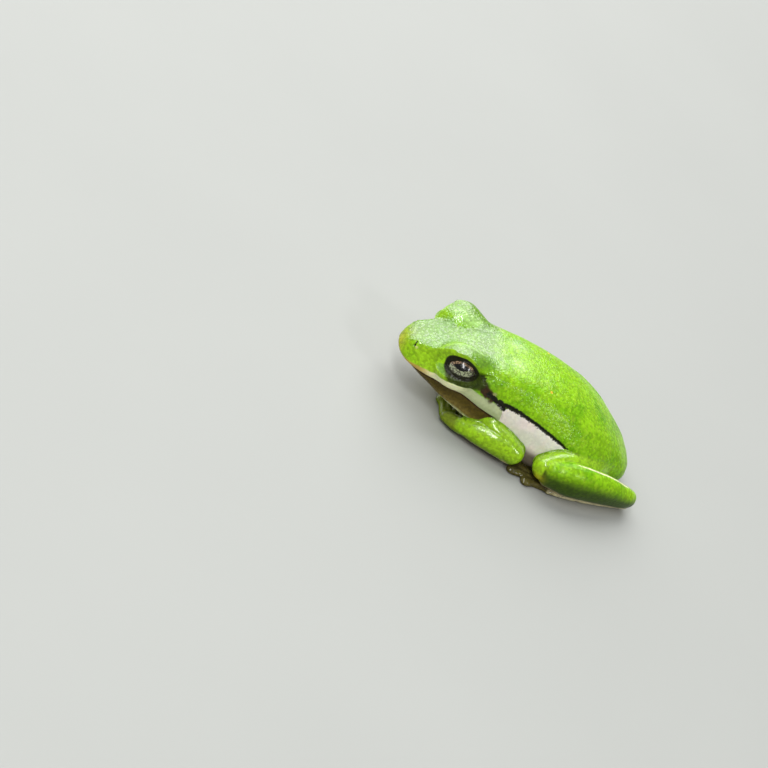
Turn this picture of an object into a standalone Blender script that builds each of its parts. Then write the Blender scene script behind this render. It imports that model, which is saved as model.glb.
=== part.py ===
# Tree frog at rest, life size: head low, arms and legs folded in against the body.
# +Z is up, the frog faces -Y and its left side is +X. The belly, hands and feet rest
# on Z = 0. Lengths in the tables are in millimetres, and MM turns them into metres.
import math

import bmesh
import bpy
import numpy as np
from mathutils import Vector

MM = 0.001

# Driving dimensions
GAP = 0.3                    # clear space between neighbouring pieces
SHIFT_Y = -0.8               # puts the middle of the whole length over the origin
NECK_Y = -5.0                # where head and trunk part
FLOOR_DEPTH = 6.0            # how far the trimming block reaches below the floor
FLOOR_SPAN = 80.0

# Sections of head and trunk from snout to vent, one row each:
# y, back z, ridge x and z, flank x and z, lower x and z, belly z
SECTIONS = (
    (-18.9, 5.6, 0.10, 5.6, 0.15, 5.4, 0.10, 5.2, 5.2),
    (-18.6, 6.9, 1.20, 6.7, 1.60, 5.4, 1.20, 4.5, 4.4),
    (-17.6, 7.9, 2.00, 7.7, 2.90, 5.3, 2.30, 4.1, 3.8),
    (-16.0, 8.6, 2.80, 8.3, 4.00, 5.3, 3.40, 3.7, 3.3),
    (-13.6, 9.6, 3.70, 9.1, 5.10, 5.4, 4.50, 3.4, 2.9),
    (-11.0, 10.3, 4.40, 9.7, 6.10, 5.4, 5.30, 3.1, 2.5),
    (-8.0, 10.9, 5.20, 10.2, 6.90, 5.5, 5.80, 2.8, 2.1),
    (-5.0, 11.1, 5.40, 10.3, 7.10, 5.4, 6.00, 2.3, 1.6),
    (-1.5, 11.3, 5.40, 10.3, 7.60, 5.3, 6.60, 1.4, 0.6),
    (3.0, 11.0, 5.40, 9.9, 8.10, 5.2, 7.40, 0.8, -0.3),
    (7.5, 9.9, 5.40, 8.9, 8.10, 4.9, 7.40, 0.7, -0.5),
    (11.5, 8.3, 4.80, 7.5, 7.10, 4.4, 6.20, 0.7, -0.3),
    (15.2, 6.5, 3.70, 5.9, 5.10, 3.6, 4.20, 1.1, 0.5),
    (17.6, 4.9, 2.40, 4.4, 3.10, 2.9, 2.30, 1.5, 1.2),
    (18.7, 3.2, 0.40, 3.1, 0.50, 2.7, 0.40, 2.3, 2.2),
)
HEAD_RINGS = 3               # rings for each stretch between two sections
TRUNK_RINGS = 2
BODY_SIDES = 4               # faces for each of the eight arcs of a ring

# Eyes: the ball, the swelling of lids round it, and the half-closed opening
EYE_CENTRE = (4.85, -11.45, 8.75)
EYE_RADIUS = 2.05
LID_CENTRE = (4.85, -11.5, 8.8)
LID_RADII = (2.95, 3.4, 2.8)
LID_ROOT = (3.1, -11.4, 7.4)       # inside the head, where the swelling spreads from
LID_BLEND = 2.0
EYE_AIM = (0.81, -0.42, 0.40)      # the way the opening faces, on the left side
OPENING = (2.05, 1.3)              # half length and half height of the opening
OPENING_DEPTH = 2.0
OPENING_TILT = 14.0                # degrees, the front corner lower than the rear

# Limbs, root to tip, for the left side: x, y, z, half width, half height
UPPER_ARM = (
    (5.3, -5.0, 3.8, 1.6, 1.6),
    (7.2, -3.4, 3.7, 1.7, 1.7),
    (8.4, -1.4, 3.3, 1.6, 1.7),
    (8.8, 0.0, 2.7, 1.5, 1.6),
)
FOREARM = (
    (8.7, 0.0, 2.0, 1.5, 1.7),
    (8.1, -2.6, 2.0, 1.8, 1.8),
    (7.3, -5.2, 1.9, 1.5, 1.5),
    (6.7, -7.0, 1.7, 1.2, 1.2),
)
PALM = (
    (6.5, -7.2, 1.5, 1.2, 1.1),
    (5.8, -8.4, 1.2, 1.4, 0.9),
    (4.8, -9.2, 0.8, 1.4, 0.7),
)
THIGH = (
    (3.0, 14.5, 2.9, 2.0, 2.2),
    (6.1, 11.0, 3.5, 2.0, 2.2),
    (8.3, 6.6, 3.9, 1.7, 2.0),
    (9.7, 3.6, 3.1, 1.8, 1.9),
)
SHANK = (
    (10.2, 4.9, 2.9, 1.6, 1.8),
    (10.0, 8.5, 3.1, 2.0, 2.2),
    (8.9, 13.2, 3.0, 1.8, 2.0),
    (7.2, 17.4, 2.6, 1.5, 1.6),
    (6.4, 18.9, 2.4, 1.3, 1.4),
)
TARSUS = (
    (6.4, 18.8, 1.1, 1.1, 0.9),
    (7.6, 15.4, 0.9, 1.1, 0.8),
    (8.7, 11.6, 0.8, 1.2, 0.8),
)
SOLE = (
    (8.9, 10.8, 0.7, 1.2, 0.7),
    (9.2, 8.4, 0.6, 1.4, 0.6),
    (9.4, 6.6, 0.5, 1.5, 0.5),
)
LIMB_RINGS = 2
LIMB_SIDES = 10
END_RINGS = 2                # rings that round off each end of a limb

# The hind leg on the right lies closer in under the rump
TUCK_FROM = 8.0
TUCK_OVER = 11.0
TUCK_IN = 1.3
TUCK_FORWARD = 1.8

# Fingers and toes: root x and y, heading in degrees from straight ahead towards the
# midline, and length
FINGERS = (
    (5.0, -8.2, 128.0, 2.9),
    (4.5, -8.7, 112.0, 3.4),
    (4.2, -9.2, 98.0, 3.5),
    (4.2, -9.7, 84.0, 2.9),
)
TOES = (
    (7.9, 7.4, 30.0, 3.2),
    (8.3, 6.7, 19.0, 4.4),
    (8.8, 6.3, 10.0, 5.3),
    (9.3, 6.5, 2.0, 5.6),
    (9.8, 7.3, -6.0, 4.3),
)
DIGIT_RADIUS = 0.5
DISC_RADIUS = 0.85
DISC_HALF_HEIGHT = 0.45
DIGIT_SIDES = 6
BASE_SIDES = 10              # sides of a palm or sole
DIGIT_LIFT = 0.42            # height of a digit's middle line

# Finishes: base colour, roughness
SKIN_GREEN = ((0.36, 0.62, 0.05), 0.38)
LIMB_GREEN = ((0.33, 0.60, 0.05), 0.38)
FOOT_GREEN = ((0.42, 0.55, 0.12), 0.42)
EYE_BRONZE = ((0.22, 0.15, 0.07), 0.12)


def clear_scene():
    for thing in list(bpy.data.objects):
        bpy.data.objects.remove(thing, do_unlink=True)


def new_collection(name):
    collection = bpy.data.collections.new(name)
    bpy.context.scene.collection.children.link(collection)
    return collection


def finish(name, look):
    colour, roughness = look
    material = bpy.data.materials.new(name)
    material.use_nodes = True
    shader = material.node_tree.nodes["Principled BSDF"]
    shader.inputs["Base Color"].default_value = (*colour, 1.0)
    shader.inputs["Roughness"].default_value = roughness
    shader.inputs["Metallic"].default_value = 0.0
    return material


def smooth_rows(rows, steps, closed=False):
    """Points of a Catmull-Rom curve through the rows, in the given steps a stretch."""
    rows = np.array(rows, float)
    count = len(rows)
    if closed:
        padded = np.vstack([rows[-1:], rows, rows[:2]])
        stretches = count
    else:
        first = 2 * rows[:1] - rows[1:2]
        last = 2 * rows[-1:] - rows[-2:-1]
        padded = np.vstack([first, rows, last])
        stretches = count - 1
    if isinstance(steps, int):
        steps = [steps] * stretches
    curve = []
    for index in range(stretches):
        t = np.arange(steps[index])[:, None] / steps[index]
        a, b, c, d = padded[index:index + 4]
        rise = (c - a) * t
        bend = (2 * a - 5 * b + 4 * c - d) * t ** 2
        twist = (3 * b - a - 3 * c + d) * t ** 3
        curve.append(b + 0.5 * (rise + bend + twist))
    if not closed:
        curve.append(rows[-1:])
    return np.vstack(curve)


def loft(name, rings):
    """A closed skin over rings of points, with a fan of faces over each end."""
    rings = np.asarray(rings)
    count, sides = rings.shape[:2]
    mesh = bpy.data.meshes.new(name)
    shape = bmesh.new()
    loops = []
    for ring in rings:
        loops.append([shape.verts.new(Vector(point) * MM) for point in ring])
    for near, far in zip(loops, loops[1:]):
        for j in range(sides):
            k = (j + 1) % sides
            shape.faces.new((near[j], near[k], far[k], far[j]))
    for loop, ring in ((loops[0], rings[0]), (loops[-1], rings[-1])):
        tip = shape.verts.new(Vector(ring.mean(axis=0)) * MM)
        for j in range(sides):
            shape.faces.new((tip, loop[j], loop[(j + 1) % sides]))
    bmesh.ops.recalc_face_normals(shape, faces=shape.faces)
    if shape.calc_volume(signed=True) < 0.0:
        bmesh.ops.reverse_faces(shape, faces=shape.faces)
    bmesh.ops.triangulate(shape, faces=shape.faces)
    shape.to_mesh(mesh)
    shape.free()
    return mesh


def body_section(row, side):
    """One ring of head or trunk, round a row of the section table."""
    y, back, ridge_x, ridge_z, flank_x, flank_z, low_x, low_z, belly = row
    half = [(0.0, back), (ridge_x, ridge_z), (flank_x, flank_z), (low_x, low_z), (0.0, belly)]
    loop = half + [(-x, z) for x, z in half[-2:0:-1]]
    ring = smooth_rows(loop, side, closed=True)
    return [(x, y, z) for x, z in ring]


def swell(points, root, centre, radii, blend):
    """Push points away from the root to an ellipsoid, melting it into what is there."""
    offset = points - root
    reach = np.linalg.norm(offset, axis=1)
    unit = offset / reach[:, None]
    start = (root - centre) / radii
    slope = unit / radii
    a = (slope ** 2).sum(axis=1)
    b = slope @ start
    wanted = (np.sqrt(b ** 2 - a * (start @ start - 1.0)) - b) / a
    mix = np.clip(0.5 + 0.5 * (wanted - reach) / blend, 0.0, 1.0)
    out = reach + (wanted - reach) * mix + blend * mix * (1.0 - mix)
    return root + unit * out[:, None]


def body_mesh(name):
    """Head and trunk in one piece, with the lids swelling over both eyes."""
    steps = [HEAD_RINGS if row[0] < NECK_Y else TRUNK_RINGS for row in SECTIONS[:-1]]
    rows = smooth_rows(SECTIONS, steps)
    rings = np.array([body_section(row, BODY_SIDES) for row in rows])
    points = rings.reshape(-1, 3)
    for side in (1.0, -1.0):
        mirror = np.array((side, 1.0, 1.0))
        root = np.array(LID_ROOT) * mirror
        points = swell(points, root, np.array(LID_CENTRE) * mirror, LID_RADII, LID_BLEND)
    return loft(name, points.reshape(rings.shape))


def tube_mesh(name, path, steps=LIMB_RINGS, sides=LIMB_SIDES, ends=END_RINGS):
    """A limb of changing oval section along a path, rounded off at both ends."""
    rows = smooth_rows(path, steps)
    middle = rows[:, :3]
    along = np.gradient(middle, axis=0)
    along /= np.linalg.norm(along, axis=1)[:, None]
    across = np.cross(along, (0.0, 0.0, 1.0))
    across /= np.linalg.norm(across, axis=1)[:, None]
    upward = np.cross(across, along)
    angle = np.linspace(0.0, 2.0 * math.pi, sides, endpoint=False)

    def ring(i, shift, share):
        wide = np.outer(np.cos(angle) * rows[i, 3] * share, across[i])
        high = np.outer(np.sin(angle) * rows[i, 4] * share, upward[i])
        return middle[i] + along[i] * shift + wide + high

    def end(i, direction):
        radius = min(rows[i, 3], rows[i, 4])
        rings = []
        for k in range(ends):
            turn = math.pi / 2 * (k + 0.5) / (ends + 0.5)
            rings.append(ring(i, direction * radius * math.cos(turn), math.sin(turn)))
        return rings

    rings = end(0, -1.0)
    rings += [ring(i, 0.0, 1.0) for i in range(len(rows))]
    rings += end(len(rows) - 1, 1.0)[::-1]
    return loft(name, rings)


def digit_path(root_x, root_y, heading, length, lift=DIGIT_LIFT):
    """A finger or toe: slim along its length, with a round flat disc at the tip."""
    turn = math.radians(heading)
    step_x = -math.sin(turn)
    step_y = -math.cos(turn)
    shares = (0.0, 0.68, 0.86, 1.0)
    widths = (DIGIT_RADIUS * 1.2, DIGIT_RADIUS, DISC_RADIUS, DISC_RADIUS * 0.9)
    heights = (DIGIT_RADIUS, DIGIT_RADIUS, DISC_HALF_HEIGHT, DISC_HALF_HEIGHT)
    path = []
    for share, width, height in zip(shares, widths, heights):
        path.append((
            root_x + step_x * length * share,
            root_y + step_y * length * share,
            lift,
            width,
            height,
        ))
    return path


def on_side(path, side):
    return [(x * side, *rest) for x, *rest in path]


def tucked(path, side):
    """The right hind leg is drawn in under the rump behind its knee."""
    if side > 0:
        return path
    moved = []
    for x, y, *rest in path:
        share = min(max((y - TUCK_FROM) / TUCK_OVER, 0.0), 1.0)
        moved.append((x - TUCK_IN * share, y - TUCK_FORWARD * share, *rest))
    return moved


def place(name, mesh, collection, material=None):
    piece = bpy.data.objects.new(name, mesh)
    piece.location = (0.0, SHIFT_Y * MM, 0.0)
    collection.objects.link(piece)
    if material:
        mesh.materials.append(material)
        mesh.shade_smooth()
    else:
        piece.hide_render = True
        piece.display_type = "WIRE"
    return piece


def grown(name, mesh, collection, amount=GAP):
    """A cutter: the same form with its surface moved out by the gap."""
    mesh = mesh.copy()
    shape = bmesh.new()
    shape.from_mesh(mesh)
    shape.normal_update()
    for vert in shape.verts:
        # a blunt corner needs a longer move than a flat place for the same clearance
        lean = min(vert.normal.dot(face.normal) for face in vert.link_faces)
        vert.co += vert.normal * (amount * MM / max(lean, 0.6))
    shape.to_mesh(mesh)
    shape.free()
    return place(name, mesh, collection)


def block(name, low, high, collection):
    mesh = bpy.data.meshes.new(name)
    shape = bmesh.new()
    bmesh.ops.create_cube(shape, size=1.0)
    low = Vector(low) * MM
    high = Vector(high) * MM
    for vert in shape.verts:
        vert.co = Vector(low[i] + (high[i] - low[i]) * (vert.co[i] + 0.5) for i in range(3))
    shape.to_mesh(mesh)
    shape.free()
    return place(name, mesh, collection)


def ball_mesh(name, centre, radii, frame=None, segments=14, rings=8):
    """An ellipsoid at a centre, its axes turned by a frame of three directions."""
    mesh = bpy.data.meshes.new(name)
    shape = bmesh.new()
    bmesh.ops.create_uvsphere(shape, u_segments=segments, v_segments=rings, radius=1.0)
    for vert in shape.verts:
        local = Vector((vert.co.x * radii[0], vert.co.y * radii[1], vert.co.z * radii[2]))
        if frame:
            local = frame[0] * local.x + frame[1] * local.y + frame[2] * local.z
        vert.co = (local + Vector(centre)) * MM
    shape.to_mesh(mesh)
    shape.free()
    return mesh


def cut(piece, cutter, operation="DIFFERENCE"):
    modifier = piece.modifiers.new(cutter.name, "BOOLEAN")
    modifier.operation = operation
    modifier.solver = "EXACT"
    modifier.object = cutter


def eye_frame(side):
    """Directions of the eye opening: outwards, along it, and across it."""
    outward = Vector((EYE_AIM[0] * side, EYE_AIM[1], EYE_AIM[2])).normalized()
    level = Vector((0.0, 0.0, 1.0)).cross(outward).normalized()
    across = outward.cross(level)
    tilt = math.radians(OPENING_TILT) * side
    length = level * math.cos(tilt) + across * math.sin(tilt)
    return outward, length, outward.cross(length)


def add_eye(side, tag, head, parts, cutters, material):
    centre = Vector((EYE_CENTRE[0] * side, EYE_CENTRE[1], EYE_CENTRE[2]))
    radii = (EYE_RADIUS,) * 3
    place("eye_" + tag, ball_mesh("eye_" + tag, centre, radii), parts, material)
    socket = (EYE_RADIUS + GAP,) * 3
    cut(head, place("socket_" + tag, ball_mesh("socket_" + tag, centre, socket), cutters))
    frame = eye_frame(side)
    mouth = centre + frame[0] * EYE_RADIUS
    opening = ball_mesh("opening_" + tag, mouth, (OPENING_DEPTH, *OPENING), frame)
    cut(head, place("opening_" + tag, opening, cutters))


def add_limb(name, mesh, neighbours, floor, parts, cutters, material):
    """A limb piece, cleared of its neighbours, and its own cutter for those after it."""
    piece = place(name, mesh, parts, material)
    cutter = grown("clear_" + name, mesh, cutters)
    for neighbour in neighbours:
        cut(piece, neighbour)
    cut(piece, floor)
    return piece, cutter


def fan(name, base, digits, side, neighbours, floor, parts, cutters, material):
    """A hand or foot: a palm or sole with its digits joined to it."""
    piece = place(name, base, parts, material)
    for number, (x, y, heading, length) in enumerate(digits, start=1):
        path = on_side(digit_path(x, y, heading, length), side)
        label = "digit_" + name + "_" + str(number)
        digit = tube_mesh(label, path, steps=1, sides=DIGIT_SIDES, ends=1)
        cut(piece, place(label, digit, cutters), "UNION")
    for neighbour in neighbours:
        cut(piece, neighbour)
    cut(piece, floor)
    return piece


def add_limbs(side, tag, body, floor, parts, cutters, green, pale):
    def limb(name, path, neighbours, material=green):
        mesh = tube_mesh(name + "_" + tag, on_side(path, side))
        return add_limb(name + "_" + tag, mesh, neighbours, floor, parts, cutters, material)[1]

    def base(name, path):
        return tube_mesh(name, path, steps=1, sides=BASE_SIDES, ends=1)

    upper = limb("upper_arm", UPPER_ARM, [body])
    fore = limb("forearm", FOREARM, [body, upper])
    palm = base("hand_" + tag, on_side(PALM, side))
    fan("hand_" + tag, palm, FINGERS, side, [fore, body], floor, parts, cutters, pale)
    thigh = limb("thigh", tucked(THIGH, side), [body])
    shank = limb("shank", tucked(SHANK, side), [body, thigh])
    tarsus = limb("tarsus", tucked(TARSUS, side), [body, thigh, shank], pale)
    sole = base("foot_" + tag, on_side(SOLE, side))
    around = [tarsus, shank, thigh, fore, body]
    fan("foot_" + tag, sole, TOES, side, around, floor, parts, cutters, pale)


def build():
    clear_scene()
    parts = new_collection("tree_frog")
    cutters = new_collection("cutters")
    green = finish("skin_green", SKIN_GREEN)
    limb_green = finish("limb_green", LIMB_GREEN)
    foot_green = finish("foot_green", FOOT_GREEN)
    bronze = finish("eye_bronze", EYE_BRONZE)

    span = FLOOR_SPAN / 2
    floor = block("floor_trim", (-span, -span, -FLOOR_DEPTH), (span, span, 0.0), cutters)
    front = block("front_half", (-span, -span, -span), (span, NECK_Y + GAP / 2, span), cutters)
    rear = block("rear_half", (-span, NECK_Y - GAP / 2, -span), (span, span, span), cutters)

    whole = body_mesh("body")
    around_body = grown("clear_body", whole, cutters)
    head = place("head", whole.copy(), parts, green)
    cut(head, rear)
    trunk = place("trunk", whole.copy(), parts, green)
    cut(trunk, front)
    cut(trunk, floor)
    bpy.data.meshes.remove(whole)

    for side, tag in ((1.0, "left"), (-1.0, "right")):
        add_eye(side, tag, head, parts, cutters, bronze)
        add_limbs(side, tag, around_body, floor, parts, cutters, limb_green, foot_green)


build()
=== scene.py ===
# Green tree frog at rest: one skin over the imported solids, two wet eyes, and a studio round it.
import math

import bmesh
import bpy
import numpy as np
from mathutils import Matrix, Quaternion, Vector, noise


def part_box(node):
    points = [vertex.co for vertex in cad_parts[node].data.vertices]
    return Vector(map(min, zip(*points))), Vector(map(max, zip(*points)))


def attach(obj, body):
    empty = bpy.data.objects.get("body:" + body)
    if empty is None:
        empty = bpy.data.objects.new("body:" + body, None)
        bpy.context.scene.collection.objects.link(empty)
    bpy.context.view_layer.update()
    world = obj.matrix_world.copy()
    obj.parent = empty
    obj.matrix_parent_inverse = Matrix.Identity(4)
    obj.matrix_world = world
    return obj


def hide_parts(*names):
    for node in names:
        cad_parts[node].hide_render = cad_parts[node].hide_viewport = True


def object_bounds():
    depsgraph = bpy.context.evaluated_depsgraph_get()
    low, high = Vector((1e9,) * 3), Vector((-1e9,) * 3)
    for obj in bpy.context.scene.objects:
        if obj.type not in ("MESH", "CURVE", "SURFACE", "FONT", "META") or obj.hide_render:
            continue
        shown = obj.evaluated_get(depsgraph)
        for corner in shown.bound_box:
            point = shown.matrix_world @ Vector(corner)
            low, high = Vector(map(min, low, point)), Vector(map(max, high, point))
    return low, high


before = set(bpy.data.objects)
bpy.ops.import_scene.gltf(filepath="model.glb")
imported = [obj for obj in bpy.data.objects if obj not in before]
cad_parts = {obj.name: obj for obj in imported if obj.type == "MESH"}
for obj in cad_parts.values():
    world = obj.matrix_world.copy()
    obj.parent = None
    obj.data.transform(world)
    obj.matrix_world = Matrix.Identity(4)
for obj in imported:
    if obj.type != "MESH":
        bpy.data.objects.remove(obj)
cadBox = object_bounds()
mm = 0.001
print("frame:", len(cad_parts), "solids")

# The tables are in millimetres, drawn with the snout tip at snoutY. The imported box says
# how far that drawing was moved along the frog.
snoutY = -18.9
drawingShift = np.array((0.0, cadBox[0].y / mm - snoutY, 0.0))


def eyeFromFrame():
    low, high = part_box("eye_left")
    low = np.array(low) / mm - drawingShift
    high = np.array(high) / mm - drawingShift
    return (low + high) / 2, float((high - low).mean() / 2)


eyeCentre, eyeRadius = eyeFromFrame()


def softStep(low, high, value):
    share = np.clip((value - low) / (high - low), 0.0, 1.0)
    return share * share * (3.0 - 2.0 * share)


def bell(value, width):
    return np.exp(-(value / width) ** 2)


def smoothRows(rows, steps, closed=False):
    # a curve through every row, with the given steps from one row to the next
    rows = np.array(rows, float)
    if closed:
        padded = np.vstack([rows[-1:], rows, rows[:2]])
    else:
        padded = np.vstack([2 * rows[:1] - rows[1:2], rows, 2 * rows[-1:] - rows[-2:-1]])
    share = np.arange(steps)[:, None] / steps
    curve = []
    for a, b, c, d in zip(padded, padded[1:], padded[2:], padded[3:]):
        rise = (c - a) * share
        bend = (2 * a - 5 * b + 4 * c - d) * share ** 2
        twist = (3 * b - a - 3 * c + d) * share ** 3
        curve.append(b + 0.5 * (rise + bend + twist))
    if not closed:
        curve.append(rows[-1:])
    return np.vstack(curve)


def heightAt(y, rows):
    # height of a line on the side of the body, read along the body
    line = smoothRows(rows, 6)
    return np.interp(y, line[:, 0], line[:, 1])


def curveDistance(points, rows, steps=5):
    # distance to a curve in space, and how far along it the nearest place lies
    line = smoothRows(rows, steps)
    best = np.full(len(points), 1e3)
    share = np.zeros(len(points))
    for index in range(len(line) - 1):
        start = line[index]
        way = line[index + 1] - start
        along = np.clip((points - start) @ way / (way @ way), 0.0, 1.0)
        distance = np.linalg.norm(points - start - along[:, None] * way, axis=1)
        closer = distance < best
        best[closer] = distance[closer]
        share[closer] = (index + along[closer]) / (len(line) - 1)
    return best, share


def distanceTo(points, place):
    return np.linalg.norm(points - place, axis=1)


def spotAt(points, place, size):
    return bell(distanceTo(points, place), size)


def readArray(items, field, width=3, kind=np.float32):
    flat = np.empty(len(items) * width, kind)
    items.foreach_get(field, flat)
    return flat.reshape(-1, width)


def readPoints(mesh):
    return readArray(mesh.vertices, "co").astype(float)


def writePoints(mesh, points):
    mesh.vertices.foreach_set("co", points.astype(np.float32).ravel())
    mesh.update()


def readNormals(mesh):
    return readArray(mesh.vertex_normals, "vector").astype(float)


def readEdges(mesh):
    return readArray(mesh.edges, "vertices", 2, np.int32)


def neighbourMean(values, edges):
    count = len(values)
    degree = np.maximum(np.bincount(edges.ravel(), minlength=count), 1)
    columns = values.reshape(count, -1)
    mean = np.empty_like(columns)
    for axis in range(columns.shape[1]):
        column = columns[:, axis]
        total = np.bincount(edges[:, 0], column[edges[:, 1]], count)
        total += np.bincount(edges[:, 1], column[edges[:, 0]], count)
        mean[:, axis] = total / degree
    return mean.reshape(values.shape)


def relax(points, edges, rounds, weight=1.0):
    if not np.isscalar(weight):
        weight = weight[:, None]
    for _ in range(rounds):
        points = points + (neighbourMean(points, edges) - points) * 0.5 * weight
    return points


def storeValues(mesh, marks):
    for name, values in marks.items():
        attribute = mesh.attributes.new(name, "FLOAT", "POINT")
        attribute.data.foreach_set("value", values.astype(np.float32))


def linkObject(name, data):
    item = bpy.data.objects.new(name, data)
    bpy.context.scene.collection.objects.link(item)
    return item


flips = (np.array((1.0, 1.0, 1.0)), np.array((-1.0, 1.0, 1.0)))   # the left side, the right


def mirrored(points):
    # every point as it lies on the left side
    return points * np.where(points[:, :1] < 0.0, -1.0, 1.0) ** np.array((1.0, 0.0, 0.0))


# sections, limbs and digits, drawn to within a millimetre of the solids
bodyForm = {
    "sections": (   # y, back z, ridge x and z, flank x and z, lower x and z, belly z
        (-18.9, 5.6, 0.10, 5.6, 0.15, 5.4, 0.10, 5.2, 5.2),
        (-18.6, 6.9, 1.40, 6.7, 1.80, 5.4, 1.00, 4.8, 4.7),
        (-17.6, 7.9, 2.20, 7.7, 3.00, 5.3, 1.90, 4.4, 4.1),
        (-16.0, 8.6, 2.80, 8.3, 4.00, 5.3, 2.90, 4.0, 3.6),
        (-13.6, 9.6, 3.70, 9.1, 5.10, 5.4, 4.00, 3.7, 3.2),
        (-11.0, 10.3, 4.40, 9.7, 6.10, 5.4, 5.00, 3.3, 2.7),
        (-8.0, 10.9, 5.20, 10.2, 6.90, 5.5, 5.80, 2.8, 2.1),
        (-5.0, 11.1, 5.40, 10.3, 7.10, 5.4, 6.00, 2.3, 1.6),
        (-1.5, 11.3, 5.40, 10.3, 7.60, 5.3, 6.60, 1.4, 0.6),
        (3.0, 11.0, 5.40, 9.9, 8.10, 5.2, 7.40, 0.8, -0.3),
        (7.5, 9.9, 5.40, 8.9, 8.10, 4.9, 7.40, 0.7, -0.5),
        (11.5, 8.3, 4.80, 7.5, 7.10, 4.4, 6.20, 0.7, -0.3),
        (15.2, 6.2, 3.70, 5.7, 5.20, 3.5, 4.30, 1.1, 0.5),
        (17.6, 4.4, 2.60, 4.1, 3.80, 2.8, 2.80, 1.4, 1.1),
        (18.7, 3.1, 0.70, 3.0, 0.90, 2.5, 0.70, 2.0, 1.9),
    ),
    "rings": 7,
    "sides": 12,
    "lidCentre": (4.95, -12.0, 8.85),
    "lidRadii": (2.95, 3.2, 2.85),
    "lidRoot": (3.1, -11.8, 7.9),
    "lidBlend": 2.0,
}

# limbs of the left side, root to tip: x, y, z, half width, half height
limbForm = {
    "upperArm": (
        (5.3, -5.0, 3.7, 1.6, 1.6),
        (7.2, -3.4, 3.6, 1.5, 1.5),
        (8.3, -1.4, 3.2, 1.5, 1.5),
        (8.8, 0.0, 2.7, 1.5, 1.5),
    ),
    "forearm": (
        (8.6, 0.0, 2.5, 1.5, 1.7),
        (8.0, -2.6, 2.7, 1.7, 1.9),
        (7.3, -5.2, 2.3, 1.5, 1.6),
        (6.7, -7.0, 1.8, 1.2, 1.2),
    ),
    "palm": (
        (6.5, -7.0, 1.5, 1.2, 1.1),
        (5.8, -8.0, 1.2, 1.4, 0.9),
        (4.8, -8.8, 0.8, 1.4, 0.7),
    ),
    "thigh": (
        (3.0, 14.5, 2.9, 2.0, 2.2),
        (6.1, 11.0, 3.5, 2.0, 2.2),
        (8.3, 6.6, 3.9, 1.7, 2.0),
        (9.6, 4.6, 3.2, 1.7, 1.8),
    ),
    "shank": (
        (10.2, 5.6, 3.2, 1.6, 2.1),
        (10.0, 8.5, 3.5, 2.0, 2.6),
        (8.9, 13.2, 3.3, 1.8, 2.3),
        (7.3, 17.4, 2.4, 1.5, 1.7),
        (6.6, 18.7, 2.0, 1.3, 1.4),
    ),
    "tarsus": (
        (6.4, 18.8, 1.1, 1.1, 0.9),
        (7.6, 15.4, 0.9, 1.1, 0.8),
        (8.7, 11.6, 0.8, 1.2, 0.8),
    ),
    "sole": (
        (8.9, 10.8, 0.7, 1.2, 0.7),
        (9.2, 8.4, 0.6, 1.4, 0.6),
        (9.4, 6.6, 0.5, 1.5, 0.5),
    ),
}
hindLimbs = ("thigh", "shank", "tarsus", "sole")

# the right hind leg is drawn in a little further under the rump
tuck = {"from": 8.0, "over": 11.0, "inward": 1.3, "forward": 1.8}

# digits: root x and y, heading in degrees from straight ahead towards the midline, length
digitForm = {
    "fingers": ((5.0, -7.8, 128.0, 2.9), (4.5, -8.3, 112.0, 3.4), (4.2, -8.8, 98.0, 3.5),
                (4.2, -9.3, 84.0, 2.9)),
    "toes": ((7.9, 7.4, 30.0, 3.2), (8.3, 6.7, 19.0, 4.4), (8.8, 6.3, 10.0, 5.3),
             (9.3, 6.5, 2.0, 5.6), (9.8, 7.3, -6.0, 4.3)),
    "radius": 0.5,
    "discRadius": 0.85,
    "discHeight": 0.45,
    "lift": 0.42,
}


def bodyRing(row):
    y, back, ridgeX, ridgeZ, flankX, flankZ, lowX, lowZ, belly = row
    half = [(0.0, back), (ridgeX, ridgeZ), (flankX, flankZ), (lowX, lowZ), (0.0, belly)]
    loop = half + [(-x, z) for x, z in half[-2:0:-1]]
    ring = smoothRows(loop, bodyForm["sides"], closed=True)
    return [(x, y, z) for x, z in ring]


def swell(points, root, centre, radii, blend):
    # push points away from the root out to an ellipsoid, melting it into what is there
    offset = points - root
    reach = np.linalg.norm(offset, axis=1)
    unit = offset / reach[:, None]
    start = (root - centre) / radii
    slope = unit / radii
    a = (slope ** 2).sum(axis=1)
    b = slope @ start
    wanted = (np.sqrt(b ** 2 - a * (start @ start - 1.0)) - b) / a
    mix = np.clip(0.5 + 0.5 * (wanted - reach) / blend, 0.0, 1.0)
    out = reach + (wanted - reach) * mix + blend * mix * (1.0 - mix)
    return root + unit * out[:, None]


def bodyRings():
    rows = smoothRows(bodyForm["sections"], bodyForm["rings"])
    rings = np.array([bodyRing(row) for row in rows])
    points = rings.reshape(-1, 3)
    for flip in flips:
        root, centre = (np.array(bodyForm[key]) * flip for key in ("lidRoot", "lidCentre"))
        points = swell(points, root, centre, bodyForm["lidRadii"], bodyForm["lidBlend"])
    return points.reshape(rings.shape)


def tubeFrames(path, steps):
    rows = smoothRows(path, steps)
    middle = rows[:, :3]
    along = np.gradient(middle, axis=0)
    along /= np.linalg.norm(along, axis=1)[:, None]
    across = np.cross(along, (0.0, 0.0, 1.0))
    across /= np.linalg.norm(across, axis=1)[:, None]
    return rows, middle, along, across, np.cross(across, along)


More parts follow.
